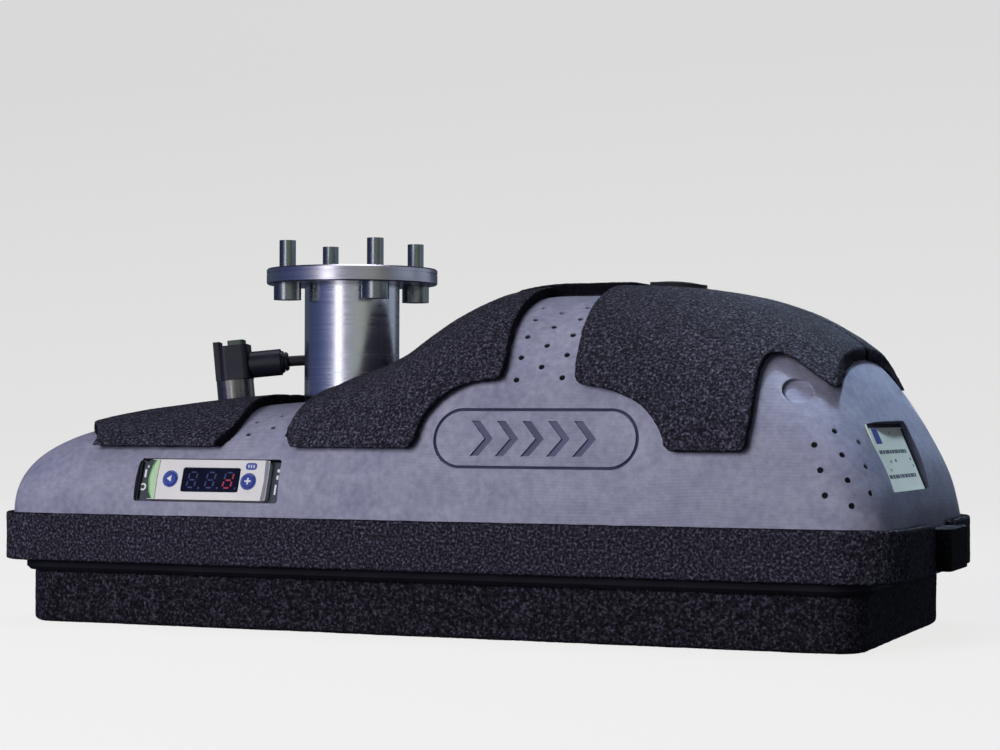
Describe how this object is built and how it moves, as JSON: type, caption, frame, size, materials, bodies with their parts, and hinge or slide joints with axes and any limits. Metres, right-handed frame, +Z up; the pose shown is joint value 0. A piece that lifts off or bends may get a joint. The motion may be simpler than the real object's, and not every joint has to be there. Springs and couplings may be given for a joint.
{
  "type": "vacuum area gripper",
  "caption": "Pneumatic area gripper for a small robot arm: foam suction mat, moulded housing with foam bumpers, display and round flange adapter.",
  "frame": {"origin": "centre of the foam suction mat's underside", "axes": "+X along the long side towards the higher end, +Y towards the back, +Z up towards the robot flange"},
  "size_m": [0.342, 0.2214, 0.1377],
  "materials": {
    "housing_plastic": "sintered polyamide, fine layer texture",
    "foam": "open cell foam rubber, speckled",
    "black_plastic": "moulded, fine grain",
    "rubber_black": "smooth",
    "display_white": "satin film",
    "window_dark": "glossy filter",
    "status_green": "satin",
    "button_blue": "satin",
    "label_film": "satin film",
    "aluminium": "turned or milled",
    "steel": "zinc plated",
    "nickel": "nickel plated, knurled",
    "cable_jacket": "satin jacket",
    "release_blue": "moulded",
    "brass": "machined",
    "sinter": "porous",
    "valve_grey": "moulded",
    "hose_blue": "satin",
    "board_green": "solder mask"
  },
  "bodies": {
    "gripper": {"adapter_flange": "aluminium", "adapter_tube": "aluminium", "air_fitting": "nickel", "base_plate": "black_plastic", "blow_off_valve": "valve_grey", "board_posts": "black_plastic", "bumper_front": "foam", "bumper_rear": "foam", "cable_coil": "cable_jacket", "cable_collar": "black_plastic", "cable_tail": "cable_jacket", "cable_tie": "black_plastic", "clamp_screw": "steel", "control_board": "board_green", "display_base": "black_plastic", "display_board": "board_green", "display_face": "display_white", "display_window": "window_dark", "ejector_body": "aluminium", "ejector_diffuser": "brass", "ejector_nozzle": "brass", "elbow_body": "black_plastic", "elbow_cap": "black_plastic", "end_block_left": "foam", "end_block_right": "foam", "far_plug": "black_plastic", "flange_screws": "steel", "housing_screws": "steel", "housing_shell": "housing_plastic", "pad_front_left": "foam", "pad_front_middle": "foam", "pad_front_right": "foam", "pad_rear_left": "foam", "pad_rear_middle": "foam", "pad_rear_right": "foam", "pad_top": "foam", "panel_socket": "black_plastic", "plenum_cover": "black_plastic", "plenum_gasket": "rubber_black", "rating_label": "label_film", "signal_cable": "cable_jacket", "silencer": "sinter", "socket_screws": "steel", "status_lens": "status_green", "suction_mat": "foam", "supply_hose": "hose_blue", "supply_valve": "valve_grey", "top_plug": "rubber_black", "tube_socket": "aluminium", "valve_manifold": "aluminium"},
    "left_button": {"button_left": "button_blue"},
    "right_button": {"button_right": "button_blue"},
    "socket_nut": {"coupling_nut": "nickel"},
    "hose_release": {"release_collar": "release_blue"},
    "plug_nut": {"far_plug_nut": "nickel"}
  },
  "joints": [
    {"name": "left_button_press", "type": "slide", "parent": "gripper", "child": "left_button", "axis": [0, 0.9511, -0.309], "range_m": [0, 0.0004], "stiffness_N_per_m": 600, "springref_m": -0.0006},
    {"name": "right_button_press", "type": "slide", "parent": "gripper", "child": "right_button", "axis": [0, 0.9511, -0.309], "range_m": [0, 0.0004], "stiffness_N_per_m": 600, "springref_m": -0.0006},
    {"name": "socket_nut_turn", "type": "hinge", "parent": "gripper", "child": "socket_nut", "pos_m": [-0.1024, 0.003, 0.07583], "axis": [-0.1045, 0, 0.9945], "continuous": true},
    {"name": "hose_release_push", "type": "slide", "parent": "gripper", "child": "hose_release", "axis": [0.0106, -0.951, -0.309], "range_m": [0, 0.0009], "stiffness_N_per_m": 1500, "springref_m": -0.0006},
    {"name": "plug_nut_turn", "type": "hinge", "parent": "gripper", "child": "plug_nut", "pos_m": [-0.0305, 0.108, 0.0071], "axis": [0.9578, -0.2873, 0], "continuous": true}
  ]
}
